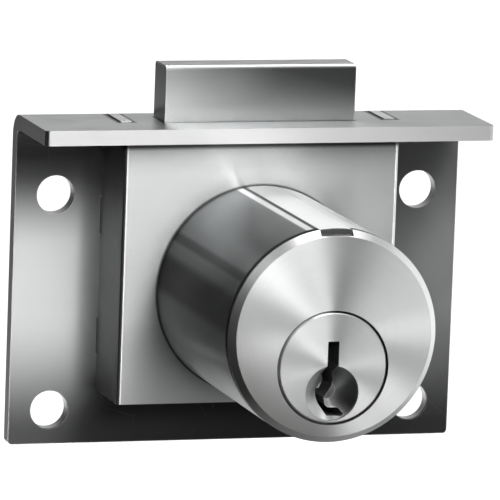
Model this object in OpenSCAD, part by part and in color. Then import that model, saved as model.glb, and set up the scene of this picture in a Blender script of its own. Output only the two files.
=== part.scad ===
/* [Mounting plate] */
// Width of the plate and of the selvage bent from its top
plate_w = 49.2; // [44:0.2:60]
// Height from the plate's lower edge to the top of the selvage
plate_h = 35.6; // [34:0.2:45]
// Thickness of the plate's sheet
sheet_t = 1.6; // [1.2:0.1:2]
// Depth of the selvage, from the plate's back to its front edge
selvage_d = 13.1; // [11:0.1:20]
// Inside radius of the bend between plate and selvage
bend_r = 0.8; // [0.3:0.1:1.5]
// Radius of the plate's and selvage's free corners
corner_r = 0.5; // [0.2:0.1:1.5]
// Diameter of a screw hole
screw_hole_d = 4.1; // [3:0.1:4.8]
// Distance from the plate's side edge to the screw holes
screw_inset = 4.45; // [3.5:0.05:5.5]
// Distance from the plate's lower edge up to the lower screw holes
screw_lift = 3.7; // [3.2:0.1:5]
// Distance from the selvage's top down to the upper screw holes
screw_drop = 8.7; // [7:0.1:9]

/* [Case] */
// Width over the case's side walls
case_w = 30.2; // [29.6:0.1:32]
// Depth from the plate's front face to the case's front
case_d = 8.4; // [8.2:0.1:9.5]
// Distance from the selvage's top down to the case's bottom
case_drop = 29.8; // [29.4:0.1:32]
// Thickness of the case's sheet
case_t = 1.2; // [1:0.05:1.3]
// Radius along the case's outer front edges
case_edge_r = 0.4; // [0.1:0.1:1]
// Length of a tab that is staked through the selvage, front to back
top_tab_l = 5.2; // [3:0.1:6]
// Distance from the plate's front face to a top tab
top_tab_start = 1.2; // [1:0.1:2]
// Length of a tab that is staked through the plate, up and down
rear_tab_l = 4; // [2:0.1:5]
// Height of the upper rear tabs' middle below the selvage's top
upper_tab_drop = 11; // [8:0.1:13]
// Height of the lower rear tabs' middle below the selvage's top
lower_tab_drop = 24; // [18:0.1:26]
// How far a staked tab stands proud of the sheet it is riveted over
tab_proud = 0.1; // [0:0.05:0.3]
// Play round a tab in its slot
tab_play = 0.12; // [0.05:0.01:0.25]

/* [Cylinder] */
// Diameter of the cylinder
cylinder_d = 22.2; // [21.4:0.1:24]
// Distance from the plate's front face to the cylinder's face
cylinder_l = 34.9; // [32:0.1:45]
// Distance from the selvage's top down to the cylinder's axis
cylinder_drop = 17.7; // [17:0.1:18.2]
// Width of the chamfer round the cylinder's face
rim_chamfer = 0.7; // [0.3:0.05:1]
// Distance from the chamfer back to the turned line behind it
rim_line_back = 0.35; // [0.2:0.05:1]
// Width of the turned line
rim_line_w = 0.3; // [0.15:0.05:0.6]
// Depth of the turned line
rim_line_depth = 0.22; // [0.1:0.02:0.4]
// Radius of the neck that passes through the case's front
neck_r = 7.5; // [7.3:0.05:7.7]
// Play between the neck and its hole
neck_play = 0.05; // [0.02:0.01:0.15]
// Width of the strip that closes the pin chambers
strip_w = 3.4; // [3:0.1:4]
// Thickness of the strip at its middle
strip_t = 0.75; // [0.5:0.05:1]
// Play at each side of the strip
strip_play = 0.03; // [0.01:0.01:0.06]

/* [Plug] */
// Diameter of the plug's head, seen in the cylinder's face
head_d = 11.8; // [11.6:0.05:12.2]
// Depth of the plug's head
head_t = 1.2; // [0.8:0.1:2]
// Diameter of the plug behind its head
plug_d = 11; // [10.6:0.05:11.3]
// Distance from the cylinder's axis down to the plug's axis
plug_drop = 3.25; // [3:0.05:3.4]
// Play round the turning plug
plug_play = 0.05; // [0.02:0.01:0.1]
// Width of the bevel round the plug's head
head_bevel = 0.3; // [0.1:0.05:0.5]
// Width of the keyway's upper slot
keyway_w = 1.2; // [1:0.05:1.3]
// Height of the keyway's top above the plug's axis
keyway_top = 2.75; // [2.4:0.05:3]
// Length of the keyway, from the plug's face
keyway_l = 23; // [22.6:0.1:23.5]
// Radius of the round recess at the keyway's lower half
recess_r = 2.85; // [2.4:0.05:3]
// Depth of the recess's straight rim
recess_rim = 0.35; // [0.1:0.05:0.6]
// Depth of the recess's cone below its rim
recess_cone = 1.7; // [1:0.1:2.2]
// Radius of the flat floor of the recess
recess_floor_r = 0.95; // [0.5:0.05:1.5]
// Distance from the plug's axis down to the recess's centre
recess_drop = 2.62; // [2.4:0.02:2.8]

/* [Pin stacks] */
// Number of pin stacks
pin_count = 5; // [3:1:5]
// Diameter of a pin
pin_d = 2.6; // [2.2:0.1:2.7]
// Play round a pin in its chamber
pin_play = 0.05; // [0.02:0.01:0.1]
// Distance between neighbouring pins
pin_pitch = 3.9; // [3.3:0.1:3.95]
// Distance from the cylinder's face to the first pin
first_pin = 5; // [4:0.1:5.2]
// Length of a driver pin
driver_l = 3.2; // [2.5:0.1:4]
// Wire diameter of a pin spring
spring_wire = 0.3; // [0.2:0.02:0.35]
// Outer diameter of a pin spring
spring_d = 2.4; // [1.8:0.1:2.4]

/* [Drive] */
// Radius of the cam's disc behind the plug
cam_r = 6.45; // [6.2:0.05:6.5]
// Thickness of the cam's disc
cam_t = 1.4; // [1.2:0.05:1.6]
// Play between the cam and the counterbore it turns in
cam_play = 0.12; // [0.05:0.01:0.2]
// Radius of the crank pin
crank_pin_r = 1.4; // [1.1:0.05:1.5]
// Length of the crank pin beyond the disc
crank_pin_l = 3.8; // [2.5:0.1:4]
// Play round the crank pin in the bolt's cam slot
slot_play = 0.12; // [0.05:0.01:0.2]

/* [Bolt] */
// Width of the bolt's head
bolt_w = 20.9; // [18:0.1:22]
// Thickness of the bolt's head
bolt_t = 4.2; // [3.6:0.1:4.4]
// Travel of the bolt, which is also its height above the selvage when thrown
bolt_throw = 6; // [5:0.1:6.2]
// Play between the bolt and the case's front wall
bolt_front_play = 0.3; // [0.2:0.05:0.4]
// Play between the bolt's body and the plate behind it
bolt_back_play = 0.25; // [0.15:0.05:0.4]
// Play at each side of the bolt's body
bolt_side_play = 0.3; // [0.1:0.05:0.5]
// Play round the bolt's head in the selvage
opening_play = 0.2; // [0.1:0.05:0.4]
// Radius along the upper edges of the bolt's head
bolt_edge_r = 0.5; // [0.2:0.05:1]
// Height of metal below the bolt's cam slot
bolt_foot = 2.7; // [1.5:0.1:3]
// Width of the friction spring behind the bolt
drag_w = 5; // [3:0.1:8]
// Length of the friction spring
drag_l = 10; // [8:0.1:11]
// Thickness of the friction spring
drag_t = 0.25; // [0.15:0.05:0.4]
// Depth of the pocket that the friction spring sits in
drag_pocket = 1.3; // [1:0.1:1.6]

/* [Screws] */
// Shank diameter of the screws that hold the cylinder
cylinder_screw_d = 2.4; // [2:0.1:2.6]
// Length of the screws that hold the cylinder
cylinder_screw_l = 6; // [4:0.5:7]
// Distance of these screws from the cylinder's middle, sideways
cylinder_screw_x = 6.4; // [6:0.1:6.8]
// Distance of these screws above the cylinder's axis
cylinder_screw_z = 5.6; // [5.2:0.1:6]
// Shank diameter of the screws that hold the cam
cam_screw_d = 1.6; // [1.2:0.1:1.8]
// Length of the screws that hold the cam
cam_screw_l = 3.6; // [3:0.1:3.8]
// Distance of the cam screws from the plug's middle, sideways
cam_screw_x = 3.6; // [3.3:0.1:3.8]
// Distance of the cam screws below the plug's axis
cam_screw_drop = 1.2; // [0.5:0.1:1.6]
// Play between a screw's shank and its hole
screw_play = 0.04; // [0.02:0.01:0.08]

/* [Hidden] */
$fn = 96;
// Overshoot of every cut beyond the face it opens
cut = 1;
// Radius of a flat screw head, as a share of its shank's diameter
head_ratio = 0.9;
// Depth of a screw head's slot, as a share of the head's radius
slot_ratio = 0.3;
// Room beyond the end of a screw in its hole
hole_end_play = 0.25;
// Play at the end of a piece that turns or slides against another
end_play = 0.1;
// Play between the thrown bolt's shoulder and the selvage
shoulder_play = 0.15;
// Room beyond the end of the crank pin in the bolt
crank_end_play = 0.3;
// Play round the friction spring in its pocket
drag_play = 0.25;
// Play between the friction spring's middle and the plate
drag_gap = 0.05;
// Play above and below a pin spring
spring_play = 0.05;
// Lengths of the key pins from the front, which are the steps of one key
key_pin_l = [3.7, 4.5, 3.9, 5, 4.2];

// The origin is the middle of the four screw holes on the plate's front face, the mounting face.
// Distances ahead of that face run towards -Y, where the key goes in.
screw_gap_x = plate_w - 2 * screw_inset;
screw_gap_z = plate_h - screw_drop - screw_lift;
selvage_top = screw_gap_z / 2 + screw_drop;
selvage_under = selvage_top - sheet_t;
selvage_front = selvage_d - sheet_t;
plate_bottom = selvage_top - plate_h;
bend_outer_r = bend_r + sheet_t;

case_bottom = selvage_top - case_drop;
case_inner_x = case_w / 2 - case_t;
case_inner_front = case_d - case_t;
case_inner_bottom = case_bottom + case_t;
tab_root = 0.5;

cylinder_r = cylinder_d / 2;
cylinder_z = selvage_top - cylinder_drop;
strip_floor_z = cylinder_z + cylinder_r - strip_t;

plug_z = cylinder_z - plug_drop;
plug_r = plug_d / 2;
head_r = head_d / 2;
cam_back = case_inner_front + end_play;
cam_front = cam_back + cam_t;
plug_back = cam_front;
neck_root = 0.2;

pin_r = pin_d / 2;
chamber_r = pin_r + pin_play;
// A flat pin end stands this far from the plug's axis without catching the shear line
key_pin_top = sqrt(plug_r * plug_r - pin_r * pin_r) - pin_play;
driver_foot = plug_r + 2 * plug_play;
plug_chamber_floor = -0.5;
driver_chamfer = 0.2;

crank_r = bolt_throw / 2;
slot_r = crank_pin_r + slot_play;

bolt_front = case_inner_front - bolt_front_play;
bolt_head_back = bolt_front - bolt_t;
bolt_top = selvage_top + bolt_throw;
bolt_shoulder = selvage_under - shoulder_play;
bolt_bottom = plug_z + crank_r - slot_r - bolt_foot;
bolt_body_x = case_inner_x - bolt_side_play;
slot_floor = bolt_front - crank_pin_l - crank_end_play;
drag_z = (bolt_shoulder + plug_z + crank_r + slot_r) / 2;
drag_bow = drag_pocket + bolt_back_play - 2 * drag_gap;

// Solid between two distances ahead of the mounting face, from an outline in X and Z
module ahead(from, to) {
    translate([0, -from, 0]) rotate([90, 0, 0]) linear_extrude(to - from) children();
}

// Round bar along Y between two distances ahead of the mounting face
module rod(from, to, r, x = 0, z = 0) {
    translate([x, -from, z]) rotate([90, 0, 0]) cylinder(h = to - from, r = r);
}

// Turned piece along Y, from an outline of points that each hold a radius and a distance ahead
module turned(outline, x = 0, z = 0) {
    translate([x, 0, z]) rotate([90, 0, 0]) rotate_extrude() polygon(outline);
}

// Outline that cuts a square corner at [r, r] back to a round one centred on the origin
module round_off(r) {
    difference() {
        square(r + cut);
        circle(r);
    }
}

// Places a child at both sides, the second one mirrored
module both_sides() {
    children();
    mirror([1, 0, 0]) children();
}

// Flat-head screw whose head lies flush at the inner distance and points forwards
module flat_screw(from, length, d, x, z, slot_w) {
    head = d * head_ratio;
    neck = from + head - d / 2;
    slot_depth = head * slot_ratio;
    difference() {
        turned([[0, from], [head, from], [d / 2, neck], [d / 2, from + length], [0, from + length]], x, z);
        translate([x - slot_w / 2, -from - slot_depth, z - head - cut])
            cube([slot_w, slot_depth + cut, 2 * (head + cut)]);
    }
}

// Countersunk hole for that screw
module flat_screw_hole(from, length, d, x, z) {
    head = d * head_ratio + screw_play;
    hole = d / 2 + screw_play;
    turned([[0, from - cut], [head + cut, from - cut], [hole, from + head - hole],
        [hole, from + length + hole_end_play], [0, from + length + hole_end_play]], x, z);
}

// Side view of the sheet: the plate, the bend and the selvage over it
module sheet_profile() {
    difference() {
        union() {
            translate([0, plate_bottom]) square([sheet_t, plate_h]);
            translate([-selvage_front, selvage_under]) square([selvage_d, sheet_t]);
            translate([-bend_r, selvage_under - bend_r]) difference() {
                square(bend_r + sheet_t / 2);
                circle(bend_r);
            }
        }
        translate([sheet_t - bend_outer_r, selvage_top - bend_outer_r]) round_off(bend_outer_r);
    }
}

// Bevel along the upper back edge of what stands in the bend, clear of its inside radius
module bend_relief(w) {
    c = bend_r + end_play;
    rotate([90, 0, 90]) translate([0, 0, -w / 2]) linear_extrude(w)
        polygon([[cut, selvage_under - c - cut], [cut, selvage_under + cut],
            [-c - cut, selvage_under + cut]]);
}

// The case's tabs, with their roots in its walls, or with play the slots that they pass through
module tabs(play, root, proud) {
    both_sides() {
        translate([case_inner_x - play, -top_tab_start - top_tab_l - play, selvage_under - root])
            cube([case_t + 2 * play, top_tab_l + 2 * play, root + sheet_t + proud]);
        for (drop = [upper_tab_drop, lower_tab_drop])
            translate([case_inner_x - play, -root, selvage_top - drop - rear_tab_l / 2 - play])
                cube([case_t + 2 * play, root + sheet_t + proud, rear_tab_l + 2 * play]);
    }
}

// Plate and selvage, bent from one sheet
module mounting_plate() {
    color("silver") difference() {
        rotate([90, 0, 90]) translate([0, 0, -plate_w / 2]) linear_extrude(plate_w) sheet_profile();
        for (x = [-1, 1], z = [-1, 1])
            rod(-sheet_t - cut, cut, screw_hole_d / 2, x * screw_gap_x / 2, z * screw_gap_z / 2);
        translate([-bolt_w / 2 - opening_play, -bolt_front - opening_play, selvage_under - cut])
            cube([bolt_w + 2 * opening_play, bolt_t + 2 * opening_play, sheet_t + 2 * cut]);
        tabs(tab_play, cut, cut);
        both_sides() {
            ahead(-sheet_t - cut, cut) translate([plate_w / 2 - corner_r, plate_bottom + corner_r])
                mirror([0, 1]) round_off(corner_r);
            translate([plate_w / 2 - corner_r, -selvage_front + corner_r, selvage_under - cut])
                mirror([0, 1, 0]) linear_extrude(sheet_t + 2 * cut) round_off(corner_r);
        }
    }
}

// Folded case: front, sides and bottom, with tabs riveted over the plate and the selvage
module lock_case() {
    color("gainsboro") difference() {
        union() {
            difference() {
                ahead(0, case_d) translate([-case_w / 2, case_bottom])
                    square([case_w, selvage_under - case_bottom]);
                ahead(-cut, case_inner_front) translate([-case_inner_x, case_inner_bottom])
                    square([2 * case_inner_x, selvage_under - case_inner_bottom + cut]);
                both_sides() translate([case_w / 2 - case_edge_r, -case_d + case_edge_r, case_bottom - cut])
                    mirror([0, 1, 0]) linear_extrude(selvage_under - case_bottom + 2 * cut)
                        round_off(case_edge_r);
                bend_relief(case_w + 2 * cut);
            }
            tabs(0, tab_root, tab_proud);
        }
        rod(case_inner_front - cut, case_d + cut, neck_r + neck_play, 0, plug_z);
        both_sides() flat_screw_hole(case_inner_front, cylinder_screw_l, cylinder_screw_d,
            cylinder_screw_x, cylinder_z + cylinder_screw_z);
    }
}

// Cylinder: a turned bar with the plug's bore, the pin chambers and the neck behind it
module cylinder_shell() {
    color("lightgray") difference() {
        union() {
            turned(cylinder_outline(), 0, cylinder_z);
            rod(case_inner_front, case_d + neck_root, neck_r, 0, plug_z);
        }
        rod(case_inner_front - cut, cylinder_l + cut, plug_r + plug_play, 0, plug_z);
        rod(cylinder_l - head_t - plug_play, cylinder_l + cut, head_r + plug_play, 0, plug_z);
        rod(case_inner_front - cut, cam_front + plug_play, cam_r + cam_play, 0, plug_z);
        for (i = [0:pin_count - 1]) translate([0, -pin_ahead(i), plug_z])
            cylinder(h = strip_floor_z - plug_z + cut / 2, r = chamber_r);
        strip_groove();
        both_sides() rod(case_d - cut, case_inner_front + cylinder_screw_l + hole_end_play,
            cylinder_screw_d / 2 + screw_play, cylinder_screw_x, cylinder_z + cylinder_screw_z);
    }
}

// Half of the cylinder's outline, with the chamfer and the fine line turned behind it
function cylinder_outline() =
    let (rim = cylinder_l - rim_chamfer, line = rim - rim_line_back, floor_r = cylinder_r - rim_line_depth)
    [[0, case_d], [cylinder_r, case_d], [cylinder_r, line - rim_line_w], [floor_r, line - rim_line_w],
        [floor_r, line], [cylinder_r, line], [cylinder_r, rim], [cylinder_r - rim_chamfer, cylinder_l],
        [0, cylinder_l]];

// How far ahead of the mounting face a pin stack stands, counted from the front
function pin_ahead(i) = cylinder_l - first_pin - i * pin_pitch;

// Groove along the cylinder's top, over the pin chambers
module strip_groove() {
    translate([-strip_w / 2 - strip_play, -cylinder_l - cut, strip_floor_z])
        cube([strip_w + 2 * strip_play, cylinder_l - case_d + 2 * cut, strip_t + cut]);
}

// Strip pressed into the groove, flush with the cylinder's round side
module cover_strip() {
    color("whitesmoke") intersection() {
        rod(case_d, cylinder_l - rim_chamfer, cylinder_r, 0, cylinder_z);
        translate([-strip_w / 2, -cylinder_l, strip_floor_z + strip_play])
            cube([strip_w, cylinder_l - case_d - strip_play, strip_t + cut]);
    }
}

// Two flat-head screws that hold the cylinder to the case, driven from inside the case
module cylinder_screws() {
    color("darkgray") both_sides() flat_screw(case_inner_front, cylinder_screw_l, cylinder_screw_d,
        cylinder_screw_x, cylinder_z + cylinder_screw_z, 0.5);
}

// Driver pin, standing on the shear line
module driver_pin(i) {
    c = driver_chamfer;
    color("goldenrod") translate([0, -pin_ahead(i), plug_z + driver_foot]) rotate_extrude()
        polygon([[0, 0], [pin_r - c, 0], [pin_r, c], [pin_r, driver_l - c], [pin_r - c, driver_l],
            [0, driver_l]]);
}

// Coil of wire between the driver pin and the cover strip
module pin_spring(i) {
    turns = 6;
    steps = 12;
    sides = 6;
    foot = plug_z + driver_foot + driver_l + spring_play;
    rise = strip_floor_z - foot - spring_wire - spring_play;
    coil_r = (spring_d - spring_wire) / 2;
    rings = turns * steps;
    points = [for (k = [0:rings], s = [0:sides - 1])
        let (a = 360 * k / steps, b = 360 * s / sides, r = coil_r + spring_wire / 2 * cos(b))
        [r * cos(a), r * sin(a), spring_wire / 2 * (1 + sin(b)) + rise * k / rings]];
    walls = [for (k = [0:rings - 1], s = [0:sides - 1])
        let (next = (s + 1) % sides, p = k * sides, q = (k + 1) * sides)
        each [[p + s, p + next, q + s], [p + next, q + next, q + s]]];
    first_end = [[for (s = [0:sides - 1]) sides - 1 - s]];
    last_end = [[for (s = [0:sides - 1]) rings * sides + s]];
    color("silver") translate([0, -pin_ahead(i), foot])
        polyhedron(points, concat(walls, first_end, last_end));
}

// Keyway seen from the front, about the plug's axis: a slot at the top, then the wards
module keyway() {
    w = keyway_w / 2;
    polygon([[-w, keyway_top], [w, keyway_top], [w, 0.15], [w - 0.3, -0.7], [w, -1.55], [w, -2.2],
        [-0.22, -3.45], [-0.22, -4.1], [0, -4.35], [1, -4.35], [1.45, -4.85], [1.2, -5.1], [-0.3, -5.1],
        [-1.05, -3.9], [-1.25, -3.2], [-1.25, -2.45], [-w - 0.2, -2.45], [-w + 0.1, -1.8],
        [-w, -1.25], [-w - 0.3, -0.75], [-w, -0.1]]);
}

// Plug: the part that the key turns
module plug() {
    face = cylinder_l;
    color("gainsboro") difference() {
        turned([[0, plug_back], [plug_r, plug_back], [plug_r, face - head_t], [head_r, face - head_t],
            [head_r, face - head_bevel], [head_r - head_bevel, face], [0, face]], 0, plug_z);
        ahead(face - keyway_l, face + cut) translate([0, plug_z]) keyway();
        turned([[0, face - recess_rim - recess_cone], [recess_floor_r, face - recess_rim - recess_cone],
            [recess_r, face - recess_rim], [recess_r, face + cut], [0, face + cut]],
            0, plug_z - recess_drop);
        for (i = [0:pin_count - 1]) translate([0, -pin_ahead(i), plug_z + plug_chamber_floor])
            cylinder(h = plug_r - plug_chamber_floor + cut, r = chamber_r);
        both_sides() rod(plug_back - cut, cam_back + cam_screw_l + hole_end_play,
            cam_screw_d / 2 + screw_play, cam_screw_x, plug_z - cam_screw_drop);
    }
}

// Key pin, with its flat end just inside the plug's surface and its point in the keyway
module key_pin(i) {
    tip = pin_r * 0.7;
    color("gold") translate([0, -pin_ahead(i), plug_z + key_pin_top - key_pin_l[i]]) rotate_extrude()
        polygon([[0, 0], [pin_r - tip, 0], [pin_r, tip], [pin_r, key_pin_l[i]], [0, key_pin_l[i]]]);
}

// Cam behind the plug: a disc that keeps the plug in, with the crank pin that drives the bolt
module drive_cam() {
    color("darkgray") difference() {
        union() {
            rod(cam_back, cam_front, cam_r, 0, plug_z);
            rod(cam_back - crank_pin_l, cam_front - cam_t / 2, crank_pin_r, 0, plug_z + crank_r);
        }
        both_sides() flat_screw_hole(cam_back, cam_screw_l, cam_screw_d, cam_screw_x,
            plug_z - cam_screw_drop);
    }
}

// Two flat-head screws that hold the cam to the plug
module cam_screws() {
    color("dimgray") both_sides() flat_screw(cam_back, cam_screw_l, cam_screw_d,
        cam_screw_x, plug_z - cam_screw_drop, 0.35);
}

// The crank pin's path in the bolt, which sinks evenly by the whole throw in half a turn
function slot_path(a) = crank_r * [sin(a), cos(a) + a / 90];
function slot_normal(a) =
    let (t = [cos(a), 2 / PI - sin(a)]) [-t[1], t[0]] / norm(t);

// Cam slot: the crank pin's path with room for the pin, and a round end at the dead centre
module cam_slot() {
    step = 10;
    end_a = atan2(slot_normal(0)[1], -slot_normal(0)[0]);
    polygon(concat(
        [for (a = [0:step:180]) slot_path(a) + slot_r * slot_normal(a)],
        [for (b = [-end_a + step:step:end_a - step]) slot_path(0) + slot_r * [-cos(b), sin(b)]]));
}

// Side view of the bolt's head, with its upper edges rounded
module bolt_head_profile() {
    difference() {
        translate([-bolt_front, bolt_shoulder - cut]) square([bolt_t, bolt_top - bolt_shoulder + cut]);
        translate([-bolt_head_back - bolt_edge_r, bolt_top - bolt_edge_r]) round_off(bolt_edge_r);
        translate([-bolt_front + bolt_edge_r, bolt_top - bolt_edge_r]) mirror([1, 0])
            round_off(bolt_edge_r);
    }
}

// Bolt: the head that shoots through the selvage, and the wider body that the crank moves
module bolt() {
    color("darkgray") difference() {
        union() {
            rotate([90, 0, 90]) translate([0, 0, -bolt_w / 2]) linear_extrude(bolt_w)
                bolt_head_profile();
            ahead(bolt_back_play, bolt_front) translate([-bolt_body_x, bolt_bottom])
                square([2 * bolt_body_x, bolt_shoulder - bolt_bottom]);
        }
        ahead(slot_floor, bolt_front + cut) translate([0, plug_z]) cam_slot();
        translate([-drag_w / 2 - drag_play, -bolt_back_play - drag_pocket,
            drag_z - drag_l / 2 - drag_play])
            cube([drag_w + 2 * drag_play, drag_pocket + cut, drag_l + 2 * drag_play]);
        bend_relief(2 * bolt_body_x + 2 * cut);
    }
}

// Bowed leaf spring in the bolt's back, which rubs on the plate and stops the bolt from rattling
module bolt_spring() {
    bow_r = (drag_l * drag_l / 4 + drag_bow * drag_bow) / (2 * drag_bow);
    color("slategray") translate([-drag_w / 2, -drag_gap - bow_r, drag_z]) intersection() {
        rotate([90, 0, 90]) linear_extrude(drag_w) difference() {
            circle(bow_r);
            circle(bow_r - drag_t);
        }
        translate([-cut, bow_r - drag_bow, -drag_l / 2])
            cube([drag_w + 2 * cut, drag_bow + cut, drag_l]);
    }
}

mounting_plate();
lock_case();
cylinder_shell();
cover_strip();
cylinder_screws();
for (i = [0:pin_count - 1]) {
    driver_pin(i);
    pin_spring(i);
    key_pin(i);
}
plug();
drive_cam();
cam_screws();
bolt();
bolt_spring();
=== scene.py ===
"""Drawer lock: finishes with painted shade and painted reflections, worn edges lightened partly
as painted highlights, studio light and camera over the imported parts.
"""
import math

import bpy
from mathutils import Matrix, Vector


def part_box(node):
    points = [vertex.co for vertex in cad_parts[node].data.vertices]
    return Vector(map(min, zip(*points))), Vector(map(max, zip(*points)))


MM = 0.001

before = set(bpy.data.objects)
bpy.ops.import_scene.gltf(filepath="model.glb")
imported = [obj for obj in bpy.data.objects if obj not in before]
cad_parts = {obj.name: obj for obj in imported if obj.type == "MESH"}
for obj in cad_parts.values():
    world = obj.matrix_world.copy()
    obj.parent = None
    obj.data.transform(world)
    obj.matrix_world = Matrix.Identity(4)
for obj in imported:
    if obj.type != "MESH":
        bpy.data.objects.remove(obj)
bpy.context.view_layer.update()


# Nodes and sockets

def feed(tree, socket, source):
    """Links a socket to its source, or sets its value where the source is a plain one."""
    if isinstance(source, bpy.types.NodeSocket):
        tree.links.new(source, socket)
    elif source is not None:
        socket.default_value = source


def put(tree, kind, settings=None, **sources):
    """Adds a node, with its settings and what feeds its named inputs."""
    made = tree.nodes.new(kind)
    for name, value in (settings or {}).items():
        setattr(made, name, value)
    for name, source in sources.items():
        feed(tree, made.inputs[name.replace("_", " ")], source)
    return made


def math_node(tree, operation, first, second=None, clamp=False):
    """Adds a Math node and returns its output."""
    made = put(tree, "ShaderNodeMath", {"operation": operation, "use_clamp": clamp})
    for socket, source in zip(made.inputs, (first, second)):
        feed(tree, socket, source)
    return made.outputs[0]


def vector_node(tree, operation, *sources, label=""):
    """Adds a Vector Math node and returns its output."""
    made = put(tree, "ShaderNodeVectorMath", {"operation": operation, "label": label})
    for socket, source in zip(made.inputs, sources):
        feed(tree, socket, source)
    return made.outputs["Value" if operation == "DOT_PRODUCT" else "Vector"]


def remap(tree, source, low, high, to_low=0, to_high=1, smooth=False):
    """Adds a Map Range node and returns its output."""
    made = put(tree, "ShaderNodeMapRange",
               {"interpolation_type": "SMOOTHSTEP" if smooth else "LINEAR"},
               Value=source, From_Min=low, From_Max=high, To_Min=to_low, To_Max=to_high)
    return made.outputs["Result"]


# The Mix node's sockets for each kind of data: first, second and result
MIX_SOCKETS = {"FLOAT": (2, 3, 0), "VECTOR": (4, 5, 1), "RGBA": (6, 7, 2)}


def blend(tree, kind, mask, first, second):
    """Adds a Mix node that goes from first to second by a mask, and returns its output."""
    made = put(tree, "ShaderNodeMix", {"data_type": kind})
    first_socket, second_socket, result = MIX_SOCKETS[kind]
    for number, source in ((0, mask), (first_socket, first), (second_socket, second)):
        feed(tree, made.inputs[number], source)
    return made.outputs[result]


# Shared effects

def new_group(name, inputs, outputs):
    """Starts a shader node group: its inputs with their first values, and its mask outputs."""
    group = bpy.data.node_groups.new(name, "ShaderNodeTree")
    for label, value in inputs.items():
        kind = "NodeSocketVector" if isinstance(value, tuple) else "NodeSocketFloat"
        group.interface.new_socket(label, in_out="INPUT", socket_type=kind).default_value = value
    for label in outputs:
        group.interface.new_socket(label, in_out="OUTPUT", socket_type="NodeSocketFloat")
    given, out = group.nodes.new("NodeGroupInput"), group.nodes.new("NodeGroupOutput")
    return group, given.outputs, out.inputs


ORIGIN = (0, 0, 0)
# The stretch of a noise's values that its lines spread over
LINE_CONTRAST = (0.32, 0.68)


def brushed_grain():
    """Long fine lines: the part's own place in millimetres, squeezed along the brushing."""
    group, given, out = new_group(
        "Brushed grain", {"Place": ORIGIN, "Squeeze": (1, 1, 1), "Fineness": 3}, ["Grain"])
    squeezed = vector_node(group, "MULTIPLY", given["Place"], given["Squeeze"])
    noise = put(group, "ShaderNodeTexNoise", Vector=squeezed, Scale=given["Fineness"],
                Detail=5, Roughness=0.62)
    feed(group, out["Grain"], remap(group, noise.outputs[0], *LINE_CONTRAST))
    return group


def turned_rings():
    """Rings round a lathe axis that runs along Y, uneven in width and depth."""
    group, given, out = new_group(
        "Turned rings", {"Place": ORIGIN, "Axis Height": 0, "Fineness": 3}, ["Grain", "Radius"])
    place = put(group, "ShaderNodeSeparateXYZ", Vector=given["Place"]).outputs
    height = math_node(group, "SUBTRACT", place["Z"], given["Axis Height"])
    radius = math_node(group, "SQRT", math_node(
        group, "ADD", math_node(group, "POWER", place["X"], 2),
        math_node(group, "POWER", height, 2)))
    around = math_node(group, "COSINE", math_node(group, "ARCTAN2", height, place["X"]))
    line = put(group, "ShaderNodeCombineXYZ", X=radius, Y=place["Y"],
               Z=math_node(group, "MULTIPLY", around, 0.35))
    noise = put(group, "ShaderNodeTexNoise", Vector=line.outputs[0], Scale=given["Fineness"],
                Detail=5, Roughness=0.65)
    feed(group, out["Grain"], remap(group, noise.outputs[0], *LINE_CONTRAST))
    feed(group, out["Radius"], radius)
    return group


def handling_marks():
    """Soft cloudy patches and a few short scratches, as plating gets in a workshop drawer."""
    group, given, out = new_group(
        "Handling marks", {"Place": ORIGIN, "Size": 0.15}, ["Clouds", "Scratches"])
    clouds = put(group, "ShaderNodeTexNoise", Vector=given["Place"], Scale=given["Size"],
                 Detail=3, Roughness=0.55).outputs[0]
    feed(group, out["Clouds"], remap(group, clouds, 0.35, 0.65, smooth=True))
    bent = put(group, "ShaderNodeTexNoise", Vector=given["Place"], Scale=0.35, Detail=2)
    slanted = vector_node(group, "MULTIPLY_ADD", bent.outputs["Color"], (0.35, 0.35, 0.35),
                          given["Place"])
    cells = put(group, "ShaderNodeTexVoronoi", {"feature": "DISTANCE_TO_EDGE"},
                Vector=slanted, Scale=0.28)
    line = remap(group, cells.outputs["Distance"], 0, 0.012, 1, 0)
    handled = math_node(group, "GREATER_THAN", clouds, 0.56)
    feed(group, out["Scratches"], math_node(group, "MULTIPLY", line, handled))
    return group


def worn_and_highlit_edges():
    """Mask of outer edges, where plating is rubbed bright and lightened further as a painted
    highlight, broken up by a small noise.
    """
    group, given, out = new_group("Worn and highlit edges", {"Place": ORIGIN, "Reach": 0.25}, ["Edge"])
    rounded = put(group, "ShaderNodeBevel", {"samples": 4},
                  Radius=math_node(group, "MULTIPLY", given["Reach"], MM))
    true_normal = put(group, "ShaderNodeNewGeometry").outputs["Normal"]
    facing = vector_node(group, "DOT_PRODUCT", rounded.outputs[0], true_normal)
    rub_and_glint = put(group, "ShaderNodeTexNoise", Vector=given["Place"], Scale=1.6, Detail=3)
    patchy = remap(group, rub_and_glint.outputs[0], 0.3, 0.6, 0.35, 1)
    feed(group, out["Edge"],
         math_node(group, "MULTIPLY", remap(group, facing, 0.99, 0.86), patchy))
    return group


def corner_shade_and_grime():
    """Mask of sheltered places, for painted shade where less light gets in, and where polish and
    dust stay: none when Open, full when Closed.
    """
    group, given, out = new_group(
        "Corner shade and grime", {"Place": ORIGIN, "Reach": 1, "Open": 0.85, "Closed": 0.35}, ["Dirt"])
    hidden = put(group, "ShaderNodeAmbientOcclusion", {"samples": 4},
                 Distance=math_node(group, "MULTIPLY", given["Reach"], MM))
    blotches = put(group, "ShaderNodeTexNoise", Vector=given["Place"], Scale=0.9, Detail=3)
    patchy = remap(group, blotches.outputs[0], 0.3, 0.7, 0.8, 1)
    mask = remap(group, hidden.outputs["AO"], given["Open"], given["Closed"], smooth=True)
    feed(group, out["Dirt"], math_node(group, "MULTIPLY", mask, patchy))
    return group


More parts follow.
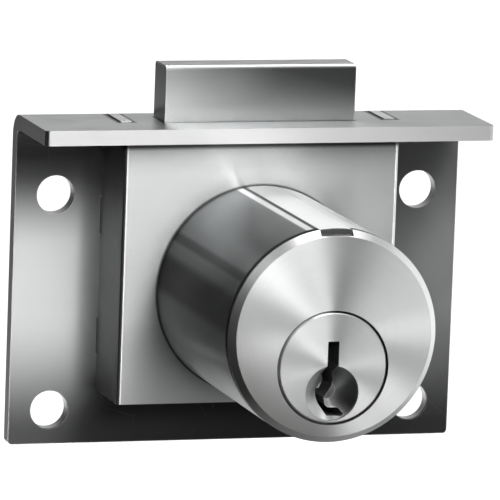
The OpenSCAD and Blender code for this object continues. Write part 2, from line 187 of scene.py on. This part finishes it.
GRAIN, RINGS = brushed_grain(), turned_rings()
MARKS, EDGES, SHADE_AND_GRIME = handling_marks(), worn_and_highlit_edges(), corner_shade_and_grime()


# Finishes

# The near-black tint serves mostly as painted shade, painted shadow and painted dark reflection,
# and partly as tarnish and dirt
DULL, BRIGHT, TARNISH_AND_SHADE = (0.30, 0.30, 0.29), (0.86, 0.86, 0.86), (0.03, 0.03, 0.03)

# Tangents lie across the brushing. Nearly upright ones stand for metal brushed from side to
# side, and the shears leave their marks more aslant on a cut face
PLATE_TANGENT, CUT_FACE_TANGENT = (-0.05, 0, 1), (-0.22, 0, 1)
CASE_TANGENT = BOLT_TANGENT = (-0.02, 0, 1)
STRIP_TANGENT = (0, 1, -0.3)

# Places on the lock, in millimetres
CYLINDER_AXIS, CYLINDER_RADIUS, PLUG_AXIS = 2.6, 11.1, -0.65
SELVAGE_TOP, SELVAGE_UNDERSIDE = 20.3, 18.7
TAB_X, TAB_HALF_WIDTH = 14.5, 0.6
TAB_Y, TAB_HALF_LENGTH = -3.8, 2.6
# How deep into a piece a mask still counts as one of its faces
SKIN = 0.05


class Finish:
    """One metal finish: a Principled shader with its own place in millimetres."""

    def __init__(self, name, metal, roughness, anisotropy=0.0, metallic=1.0):
        self.material = bpy.data.materials.new(name)
        self.material.use_nodes = True
        self.tree = self.material.node_tree
        self.shader = self.tree.nodes["Principled BSDF"].inputs
        self.shader["Metallic"].default_value = metallic
        self.shader["Anisotropic"].default_value = anisotropy
        own = put(self.tree, "ShaderNodeTexCoord").outputs["Object"]
        self.place = put(self.tree, "ShaderNodeVectorMath", {"operation": "SCALE"},
                         Vector=own, Scale=1 / MM).outputs[0]
        self.x, self.y, self.z = put(self.tree, "ShaderNodeSeparateXYZ",
                                     Vector=self.place).outputs
        self.colour, self.rough, self.height = (*metal, 1), roughness, None

    def use(self, group, **values):
        """Places a shared effect with this finish's own values, and returns its outputs."""
        return put(self.tree, "ShaderNodeGroup", {"node_tree": group}, Place=self.place,
                   **values).outputs

    def tint(self, mask, colour, strength):
        """Mixes a colour over the base by a mask."""
        self.colour = blend(self.tree, "RGBA", math_node(self.tree, "MULTIPLY", mask, strength),
                            self.colour, (*colour, 1))

    def roughen(self, mask, amount):
        """Adds a mask to the roughness."""
        self.rough = math_node(self.tree, "ADD", self.rough,
                               math_node(self.tree, "MULTIPLY", mask, amount))

    def emboss(self, mask, depth):
        """Adds a mask to the surface height, in millimetres."""
        step = math_node(self.tree, "MULTIPLY", mask, depth * MM)
        self.height = step if self.height is None else math_node(
            self.tree, "ADD", self.height, step)

    def show_lines(self, lines, strength, roughness, colour=DULL):
        """Tints and roughens the metal by its brushed or turned lines."""
        self.tint(lines, colour, strength)
        self.roughen(lines, roughness)

    def brush_along(self, tangent, mask=None, tangent_inside=None):
        """Points the shader's tangent across the brushing, and another way inside a mask."""
        way = put(self.tree, "ShaderNodeCombineXYZ", X=tangent[0], Y=tangent[1],
                  Z=tangent[2]).outputs[0]
        if mask is not None:
            way = blend(self.tree, "VECTOR", mask, way, tangent_inside)
        feed(self.tree, self.shader["Tangent"], way)

    def turn_round_axis(self):
        """Turning marks round the piece's own Y axis: a tangent turned by a quarter."""
        way = put(self.tree, "ShaderNodeTangent", {"direction_type": "RADIAL", "axis": "Y"})
        feed(self.tree, self.shader["Tangent"], way.outputs[0])
        self.shader["Anisotropic Rotation"].default_value = 0.25

    def away(self, measure, middle=0):
        """Distance from a middle value, on either side."""
        return math_node(self.tree, "ABSOLUTE",
                         math_node(self.tree, "SUBTRACT", measure, middle))

    def slanting(self, across, up):
        """Measure along a slanting line, from the shares of X and Z in it."""
        return math_node(self.tree, "ADD", math_node(self.tree, "MULTIPLY", self.x, across),
                         math_node(self.tree, "MULTIPLY", self.z, up))

    def above(self, measure, limit):
        """Mask of the places where a measure is above a limit."""
        return math_node(self.tree, "GREATER_THAN", measure, limit)

    def below(self, measure, limit):
        """Mask of the places where a measure is below a limit."""
        return math_node(self.tree, "LESS_THAN", measure, limit)

    def fade(self, measure, start, end, low=0, smooth=False):
        """Mask that goes from low at one value of a measure to one at another."""
        return remap(self.tree, measure, start, end, low, 1, smooth)

    def near(self, measure, middle, full, gone, smooth=False):
        """Mask round a middle value: one up to one distance from it, nought beyond another."""
        return self.fade(self.away(measure, middle), gone, full, smooth=smooth)

    def overlap(self, first, second):
        """Mask of the places that two masks share."""
        return math_node(self.tree, "MULTIPLY", first, second)

    def widest(self, first, second):
        """The greater of two masks or measures."""
        return math_node(self.tree, "MAXIMUM", first, second)

    def done(self):
        """Feeds the gathered colour, roughness and height to the shader."""
        feed(self.tree, self.shader["Base Color"], self.colour)
        feed(self.tree, self.shader["Roughness"], self.rough)
        if self.height is not None:
            bump = put(self.tree, "ShaderNodeBump", Strength=1, Distance=1, Height=self.height)
            feed(self.tree, self.shader["Normal"], bump.outputs[0])
        return self.material


def age(finish, clouds, edges, reach, shade_and_grime, open_at=0.85, closed_at=0.35):
    """Handling marks, sheltered corners darkened with painted shade and dust, and rubbed edges
    lightened partly as painted highlights, to each outer finish's own degree.
    """
    marks = finish.use(MARKS)
    finish.roughen(marks["Clouds"], clouds)
    finish.tint(marks["Scratches"], BRIGHT, 0.06)
    finish.emboss(marks["Clouds"], 0.004)
    finish.emboss(marks["Scratches"], -0.002)
    # Sheltered corners darkened: painted shade, with some dust
    corners = finish.use(SHADE_AND_GRIME, Reach=reach, Open=open_at, Closed=closed_at)
    finish.tint(corners["Dirt"], TARNISH_AND_SHADE, shade_and_grime)
    # Outer edges lightened: rubbed plating, and partly a painted highlight
    finish.tint(finish.use(EDGES)["Edge"], BRIGHT, edges)


def front_of(node):
    """Foremost Y of a piece, in millimetres."""
    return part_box(node)[0][1] / MM


def sheared_faces(finish):
    """Mask of the sheet's cut faces: both ends, the lower edge and the selvage's front."""
    low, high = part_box("mounting_plate")
    ends = finish.above(finish.away(finish.x), high[0] / MM - SKIN)
    front = finish.below(finish.y, low[1] / MM + SKIN)
    lower_edge = finish.below(finish.z, low[2] / MM + SKIN)
    return finish.widest(ends, finish.widest(front, lower_edge))


def staked_joint_dirt_and_shade(finish):
    """Mask round the two tabs that are staked through the selvage: dirt in the joint, and
    painted shade of the slot.
    """
    beside = math_node(finish.tree, "SUBTRACT",
                       finish.away(finish.away(finish.x), TAB_X), TAB_HALF_WIDTH)
    beyond = math_node(finish.tree, "SUBTRACT", finish.away(finish.y, TAB_Y), TAB_HALF_LENGTH)
    around = finish.fade(finish.widest(beside, beyond), 0.6, 0.35)
    return finish.overlap(around, finish.above(finish.z, SELVAGE_TOP - 0.8))


def plate_finish():
    """Nickel-plated sheet with the mill's grain from side to side, and bare cut faces."""
    finish = Finish("satin nickel plate", (0.69, 0.70, 0.70), roughness=0.34, anisotropy=1.0)
    sheared = sheared_faces(finish)
    finish.brush_along(PLATE_TANGENT, sheared, CUT_FACE_TANGENT)
    grain = finish.use(GRAIN, Squeeze=(0.06, 1.6, 1.6), Fineness=2.2)["Grain"]
    finish.show_lines(grain, 0.03, 0.02)
    # Painted shade on the front face: darker low down, and painted shadows below the case
    # and, mostly on the left, below the selvage
    low_down = finish.fade(finish.z, -1, -14.5, smooth=True)
    under_case = finish.overlap(finish.near(finish.x, 0, full=13, gone=18, smooth=True),
                                finish.near(finish.z, -10.5, full=1, gone=4, smooth=True))
    selvage_shadow = finish.overlap(finish.near(finish.z, 15.5, full=1, gone=10, smooth=True),
                                   finish.fade(finish.x, 15, -15, low=0.55))
    in_front = finish.overlap(finish.below(finish.z, SELVAGE_UNDERSIDE - 0.2),
                              finish.below(finish.y, 0.3))
    for painted_shade in (low_down, under_case, selvage_shadow):
        finish.tint(finish.overlap(painted_shade, in_front), TARNISH_AND_SHADE, 0.9)
    finish.tint(sheared, (0.76, 0.76, 0.76), 1)
    finish.roughen(sheared, 0.18)
    age(finish, clouds=0.03, edges=0.4, reach=4, shade_and_grime=0.25, open_at=0.85, closed_at=0.50)
    # Dark outline round the tabs: dirt in the joint and painted shade
    finish.tint(staked_joint_dirt_and_shade(finish), TARNISH_AND_SHADE, 0.9)
    return finish.done()


def case_finish():
    """Nickel-plated sheet with a fine grain from side to side, and side walls painted darker as
    shade.
    """
    finish = Finish("brushed nickel case", (0.94, 0.95, 0.95), roughness=0.38, anisotropy=0.85)
    finish.brush_along(CASE_TANGENT)
    grain = finish.use(GRAIN, Squeeze=(0.07, 1.8, 1.8), Fineness=2.4)["Grain"]
    finish.show_lines(grain, 0.03, 0.02)
    # The side walls painted dark: painted shade
    shaded_walls = finish.above(finish.away(finish.x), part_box("lock_case")[1][0] / MM - 0.08)
    finish.tint(shaded_walls, (0.22, 0.22, 0.22), 0.9)
    # A painted shadow in a thin line under the selvage, and a dark joint round the cylinder's
    # foot
    selvage_shadow = finish.near(finish.z, SELVAGE_UNDERSIDE - 0.4, full=0.3, gone=0.8,
                                smooth=True)
    finish.tint(selvage_shadow, TARNISH_AND_SHADE, 0.9)
    from_axis = finish.use(RINGS, Axis_Height=CYLINDER_AXIS)["Radius"]
    foot = finish.fade(from_axis, CYLINDER_RADIUS + 0.28, CYLINDER_RADIUS + 0.1)
    finish.tint(foot, TARNISH_AND_SHADE, 0.8)
    age(finish, clouds=0.03, edges=0.7, reach=4, shade_and_grime=0.5, open_at=0.85, closed_at=0.50)
    return finish.done()


def cylinder_finish():
    """Dull chrome on turned brass: bright on the face and rim, plainer round the side, with
    painted reflections, highlights and shade.
    """
    finish = Finish("turned dull chrome", (0.24, 0.25, 0.25), roughness=0.31, anisotropy=0.9)
    finish.turn_round_axis()
    # Polished chrome for the head, and the colour of the painted reflections along the top
    polish_and_sheen = (0.95, 0.96, 0.96)
    face = front_of("cylinder_shell")
    head = finish.below(finish.y, face + 0.95)
    # Two painted dark reflections as streaks along the left side, a narrow one over a broad one
    leaning = finish.slanting(0.51, 0.86)
    left = finish.fade(finish.x, -5, -8)
    for middle, half, soft, strength in ((2.6, 0.8, 0.6, 0.8), (-1.3, 2.5, 1.3, 0.98)):
        dark_reflection = finish.near(leaning, middle, full=half - soft, gone=half, smooth=True)
        finish.tint(finish.overlap(dark_reflection, left), TARNISH_AND_SHADE, strength)
    finish.tint(head, polish_and_sheen, 1)
    # Painted shade over the lower left of the face and rim
    shaded_low_left = finish.fade(finish.slanting(1, 1), -3, -13, smooth=True)
    finish.tint(finish.overlap(shaded_low_left, head), DULL, 0.8)
    # Along the top: a broad band of painted reflection, and left of it a narrow painted
    # highlight and a painted dark line
    upper = finish.overlap(math_node(finish.tree, "SUBTRACT", 1.0, head),
                           finish.above(finish.z, 8))
    for middle, half, soft, colour in ((4.2, 3.4, 1.0, polish_and_sheen), (-2.5, 0.42, 0.2, polish_and_sheen),
                                       (-1.9, 0.22, 0.1, TARNISH_AND_SHADE)):
        reflection_band = finish.near(finish.x, middle, full=half - soft, gone=half)
        finish.tint(finish.overlap(reflection_band, upper), colour, 0.9)
    rings = finish.use(RINGS, Axis_Height=CYLINDER_AXIS, Fineness=5)["Grain"]
    finish.show_lines(rings, 0.05, 0.02)
    age(finish, clouds=0.03, edges=0.4, reach=1, shade_and_grime=0.9, open_at=0.9, closed_at=0.5)
    # A dark ring just behind the chamfer: painted shade
    shade_behind_chamfer = finish.near(finish.y, face + 1.2, full=0.45, gone=0.55)
    finish.tint(shade_behind_chamfer, TARNISH_AND_SHADE, 0.98)
    return finish.done()


def strip_finish():
    """The same chrome on the strip over the pin chambers, made pale and half matt as a painted
    highlight, with its front end painted dark as shade.
    """
    finish = Finish("chrome cover strip", (0.93, 0.94, 0.94), roughness=0.30, anisotropy=0.9,
                    metallic=0.3)
    finish.brush_along(STRIP_TANGENT)
    grain = finish.use(GRAIN, Squeeze=(0.2, 3, 0.2), Fineness=1.7)["Grain"]
    finish.tint(grain, DULL, 0.05)
    # Front end painted near black: painted shade in the notch at the rim
    finish.tint(finish.below(finish.y, front_of("cover_strip") + SKIN), (0.01, 0.01, 0.01), 0.95)
    age(finish, clouds=0.02, edges=0.3, reach=1, shade_and_grime=0.7, open_at=0.7, closed_at=0.3)
    return finish.done()


def plug_finish():
    """Dull chrome with turned rings round the plug's own axis, and painted shade in the recess.
    """
    finish = Finish("turned chrome plug", (0.96, 0.97, 0.97), roughness=0.32, anisotropy=0.85)
    finish.turn_round_axis()
    rings = finish.use(RINGS, Axis_Height=PLUG_AXIS, Fineness=6)["Grain"]
    finish.show_lines(rings, 0.05, 0.02)
    sunk = finish.above(finish.y, front_of("plug") + 0.1)
    # Painted shade in the recess: heavy right of the keyway, light on its left
    shaded_side = finish.fade(finish.x, -0.9, 0.3, low=0.15, smooth=True)
    finish.tint(finish.overlap(sunk, shaded_side), TARNISH_AND_SHADE, 0.85)
    age(finish, clouds=0.03, edges=0.4, reach=1.3, shade_and_grime=0.97, open_at=0.70, closed_at=0.30)
    return finish.done()


def bolt_finish():
    """Plated bar with a fine grain along its length, and a duller sawn end."""
    finish = Finish("satin nickel bolt", (0.70, 0.71, 0.71), roughness=0.285, anisotropy=1.0)
    finish.brush_along(BOLT_TANGENT)
    grain = finish.use(GRAIN, Squeeze=(0.08, 1.8, 1.8), Fineness=2.2)["Grain"]
    finish.show_lines(grain, 0.03, 0.02)
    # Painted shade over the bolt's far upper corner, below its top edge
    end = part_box("bolt")[1][2] / MM
    below_edge = finish.fade(finish.z, end - 0.1, end - 0.3)
    shaded_far_corner = finish.fade(finish.slanting(0.25, 1), 18, 26.5)
    finish.tint(finish.overlap(below_edge, shaded_far_corner), TARNISH_AND_SHADE, 0.72)
    finish.tint(finish.above(finish.z, end - 0.03), DULL, 0.6)
    age(finish, clouds=0.02, edges=0.8, reach=3, shade_and_grime=0.6)
    return finish.done()


def brass_finish():
    """Turned brass pins."""
    finish = Finish("turned brass", (0.78, 0.60, 0.30), roughness=0.28)
    grain = finish.use(GRAIN, Squeeze=(0.3, 0.3, 4), Fineness=2)["Grain"]
    finish.show_lines(grain, 0.2, 0.08, colour=(0.45, 0.32, 0.14))
    finish.tint(finish.use(MARKS, Size=0.6)["Clouds"], (0.50, 0.33, 0.16), 0.25)
    return finish.done()


def wire_finish():
    """Drawn spring wire, a little oiled."""
    finish = Finish("drawn spring wire", (0.60, 0.60, 0.58), roughness=0.24)
    oiled = finish.use(MARKS, Size=0.9)["Clouds"]
    finish.tint(oiled, (0.38, 0.36, 0.33), 0.3)
    finish.roughen(oiled, 0.1)
    return finish.done()


def cam_finish():
    """Zinc-plated pressing with a crystalline mottle."""
    finish = Finish("zinc plated cam", (0.52, 0.52, 0.51), roughness=0.38)
    mottle = finish.use(MARKS, Size=1.4)["Clouds"]
    finish.tint(mottle, (0.36, 0.37, 0.38), 0.4)
    finish.roughen(mottle, 0.12)
    finish.tint(finish.use(EDGES)["Edge"], BRIGHT, 0.4)
    return finish.done()


def screw_finish():
    """Zinc-plated screws, with painted shade and grime in their slots."""
    finish = Finish("zinc plated screws", (0.50, 0.50, 0.49), roughness=0.33)
    finish.tint(finish.use(MARKS, Size=1.8)["Clouds"], (0.33, 0.33, 0.32), 0.4)
    finish.tint(finish.use(SHADE_AND_GRIME, Reach=0.5)["Dirt"], (0.06, 0.05, 0.04), 0.7)
    finish.tint(finish.use(EDGES)["Edge"], BRIGHT, 0.4)
    return finish.done()


# Edges

# Faces within the first angle of each other are one face, and edges from the second are eased
SAME_FACE, SHARP_EDGE = math.radians(1), math.radians(38)


def ease_edges(part, width):
    """Rounds a part's sharp edges by a hair, so that they catch the light."""
    whole = part.modifiers.new("whole faces", "DECIMATE")
    whole.decimate_type = "DISSOLVE"
    whole.angle_limit = SAME_FACE
    ease = part.modifiers.new("eased edges", "BEVEL")
    ease.width = width * MM
    ease.segments = 2
    ease.limit_method = "ANGLE"
    ease.angle_limit = SHARP_EDGE
    ease.use_clamp_overlap = True
    normals = part.modifiers.new("even shading", "WEIGHTED_NORMAL")
    normals.keep_sharp = False
    normals.weight = 100


# Each piece's finish, and how far its edges are eased, in millimetres
FINISHES = {
    "mounting_plate": (plate_finish, 0.12),
    "lock_case": (case_finish, 0.3),
    "cylinder_shell": (cylinder_finish, 0.04),
    "cover_strip": (strip_finish, 0.03),
    "plug": (plug_finish, 0.04),
    "bolt": (bolt_finish, 0.2),
    "drive_cam": (cam_finish, 0.05),
    "driver_pin": (brass_finish, 0),
    "key_pin": (brass_finish, 0),
    "pin_spring": (wire_finish, 0),
    "bolt_spring": (wire_finish, 0),
    "cylinder_screws": (screw_finish, 0),
    "cam_screws": (screw_finish, 0),
}

made = {}
for name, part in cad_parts.items():
    stem = name.rstrip("0123456789").rstrip("_")
    finish, edge = FINISHES[stem]
    if finish not in made:
        made[finish] = finish()
    part.data.materials.clear()
    part.data.materials.append(made[finish])
    if edge:
        ease_edges(part, edge)


# Camera

# Turn to the right, tip downwards and roll, in degrees
CAMERA_ANGLES = (17.32, 10.04, -2.09)
# Distance from the lock's origin, and shifts to the right and up, in millimetres
CAMERA_DISTANCE, CAMERA_RIGHT, CAMERA_UP = 700, 1.50, 5.27
SENSOR_WIDTH, FOCAL_LENGTH = 36, 471.5


def place_camera():
    """Camera in front, to the left and a little above, turned slightly as the photo is."""
    yaw, pitch, roll = (math.radians(angle) for angle in CAMERA_ANGLES)
    look = Vector((math.sin(yaw) * math.cos(pitch), math.cos(yaw) * math.cos(pitch),
                   -math.sin(pitch)))
    right = Vector((math.cos(yaw), -math.sin(yaw), 0))
    up = right.cross(look)
    place = (CAMERA_RIGHT * right + CAMERA_UP * up - CAMERA_DISTANCE * look) * MM
    turned = Matrix((math.cos(roll) * right - math.sin(roll) * up,
                     math.sin(roll) * right + math.cos(roll) * up, -look)).transposed()
    camera = bpy.data.objects.new("camera", bpy.data.cameras.new("camera"))
    camera.matrix_world = Matrix.Translation(place) @ turned.to_4x4()
    camera.data.sensor_width = SENSOR_WIDTH
    camera.data.lens = FOCAL_LENGTH
    bpy.context.collection.objects.link(camera)
    bpy.context.scene.camera = camera


# Light

# Soft lamps: name, place, the point that each shines at, width, height, radiance, and lean in
# degrees. Places and sizes are in millimetres
SOFTBOXES = [
    ("key softbox", (16, -190, 140), (16, 0, 0), 70, 160, 5.5, 0),
    ("main softbox", (12, -200, -17), (12, 0, -17), 80, 60, 0.95, 25),
    ("upper left softbox", (-40, -200, 60), (0, -20, 3), 60, 60, 8.5, 0),
    ("right softbox", (142, -190, 75), (0, -20, 0), 50, 180, 4.3, 0),
    ("low right softbox", (172, -175, -28), (0, -20, 0), 50, 36, 8.0, 0),
    ("upper right softbox", (120, -145, 197), (0, -20, 12), 90, 90, 0.8, 0),
    ("top rear softbox", (82, 106, 247), (0, -20, 12), 120, 120, 4.5, 0),
]

# Reflection cards round the lock: name, direction, cosine at the card's soft rim, cosine at its
# full tone, tone. The rest is black card
BLACK_CARD = 0.03
CARDS = [
    ("behind", (0.35, 0.93, 0.15), 0.80, 0.99, 0.72),
    ("ceiling", (0.2, -0.15, 1), 0.85, 0.97, 1.60),
    ("table", (0.1, -0.1, -1), 0.60, 0.98, 0.30),
    ("right", (1, 0.2, 0), 0.60, 0.93, 1.00),
    ("low behind", (-0.1, 0.78, -0.6), 0.85, 0.97, 1.60),
]
CARD_CORNERS = ((-420, -420, -72), (420, 420, 420))

FLOOR_LEVEL, FLOOR_REACH = -75, 1500
FLOOR_COLOUR, FLOOR_GLOW = (0.8, 0.8, 0.8, 1), 0.85
# What the world gives as plain light, while the camera and mirrors see it white
ROOM_LIGHT = 0.4


def softbox(name, place, aim, width, height, radiance, lean):
    """Soft lamp that shines from one place towards another."""
    lamp = bpy.data.lights.new(name, "AREA")
    lamp.shape = "RECTANGLE"
    lamp.size = width * MM
    lamp.size_y = height * MM
    lamp.energy = radiance * math.pi * lamp.size * lamp.size_y
    box = bpy.data.objects.new(name, lamp)
    way = Vector(aim) - Vector(place)
    box.matrix_world = (Matrix.Translation(Vector(place) * MM)
                        @ way.to_track_quat("-Z", "Y").to_matrix().to_4x4()
                        @ Matrix.Rotation(math.radians(lean), 4, "Z"))
    box.visible_camera = False
    bpy.context.collection.objects.link(box)


def seen_directly(tree):
    """One where a ray comes from the camera, a mirror or glass, and nought elsewhere."""
    path = put(tree, "ShaderNodeLightPath").outputs
    through = math_node(tree, "ADD", path["Is Glossy Ray"], path["Is Transmission Ray"])
    return math_node(tree, "ADD", path["Is Camera Ray"], through, clamp=True)


def light_room():
    """White background, and a dim even light from all sides."""
    world = bpy.data.worlds.new("studio")
    world.use_nodes = True
    tree = world.node_tree
    shade = tree.nodes["Background"].inputs
    shade["Color"].default_value = (1, 1, 1, 1)
    feed(tree, shade["Strength"], remap(tree, seen_directly(tree), 0, 1, ROOM_LIGHT, 1))
    bpy.context.scene.world = world


def surround(name, corners, faces, material_name):
    """Object from corners in millimetres, and the empty node tree of its own material."""
    mesh = bpy.data.meshes.new(name)
    mesh.from_pydata([Vector(corner) * MM for corner in corners], [], faces)
    around = bpy.data.objects.new(name, mesh)
    bpy.context.collection.objects.link(around)
    material = bpy.data.materials.new(material_name)
    material.use_nodes = True
    material.node_tree.nodes.clear()
    mesh.materials.append(material)
    return around, material.node_tree


def hang_cards():
    """Dark and pale cards all round, which only the metal's reflections see."""
    low, high = CARD_CORNERS
    corners = [(x, y, z) for x in (low[0], high[0]) for y in (low[1], high[1])
               for z in (low[2], high[2])]
    faces = [(0, 1, 3, 2), (4, 6, 7, 5), (0, 4, 5, 1), (2, 3, 7, 6), (0, 2, 6, 4), (1, 5, 7, 3)]
    cards, tree = surround("reflection_cards", corners, faces, "card tones")
    cards.visible_camera = cards.visible_diffuse = cards.visible_shadow = False
    way = vector_node(tree, "NORMALIZE", put(tree, "ShaderNodeTexCoord").outputs["Object"])
    tone = BLACK_CARD
    for name, middle, rim, full, strength in CARDS:
        facing = vector_node(tree, "DOT_PRODUCT", way, Vector(middle).normalized(), label=name)
        tone = blend(tree, "FLOAT", remap(tree, facing, rim, full, smooth=True), tone, strength)
    glow = put(tree, "ShaderNodeEmission", Strength=tone)
    put(tree, "ShaderNodeOutputMaterial", Surface=glow.outputs[0])


def lay_floor():
    """White floor below the lock, open from beneath, with a soft shadow."""
    corners = [(x, y, FLOOR_LEVEL) for x, y in (
        (-FLOOR_REACH, -FLOOR_REACH), (FLOOR_REACH, -FLOOR_REACH), (FLOOR_REACH, FLOOR_REACH),
        (-FLOOR_REACH, FLOOR_REACH))]
    floor, tree = surround("floor", corners, [(0, 1, 2, 3)], "white floor")
    matt = put(tree, "ShaderNodeBsdfDiffuse", Color=FLOOR_COLOUR)
    glow = put(tree, "ShaderNodeEmission", Strength=FLOOR_GLOW)
    pale = put(tree, "ShaderNodeAddShader")
    for socket, shader in zip(pale.inputs, (matt, glow)):
        feed(tree, socket, shader.outputs[0])
    beneath = put(tree, "ShaderNodeNewGeometry").outputs["Backfacing"]
    shown = math_node(tree, "MULTIPLY", math_node(tree, "SUBTRACT", 1.0, beneath),
                      seen_directly(tree))
    clear = put(tree, "ShaderNodeBsdfTransparent")
    choose = put(tree, "ShaderNodeMixShader", Fac=shown)
    for socket, shader in zip(choose.inputs[1:], (clear, pale)):
        feed(tree, socket, shader.outputs[0])
    put(tree, "ShaderNodeOutputMaterial", Surface=choose.outputs[0])


place_camera()
light_room()
hang_cards()
lay_floor()
for lamp in SOFTBOXES:
    softbox(*lamp)
bpy.context.scene.view_settings.view_transform = "Standard"
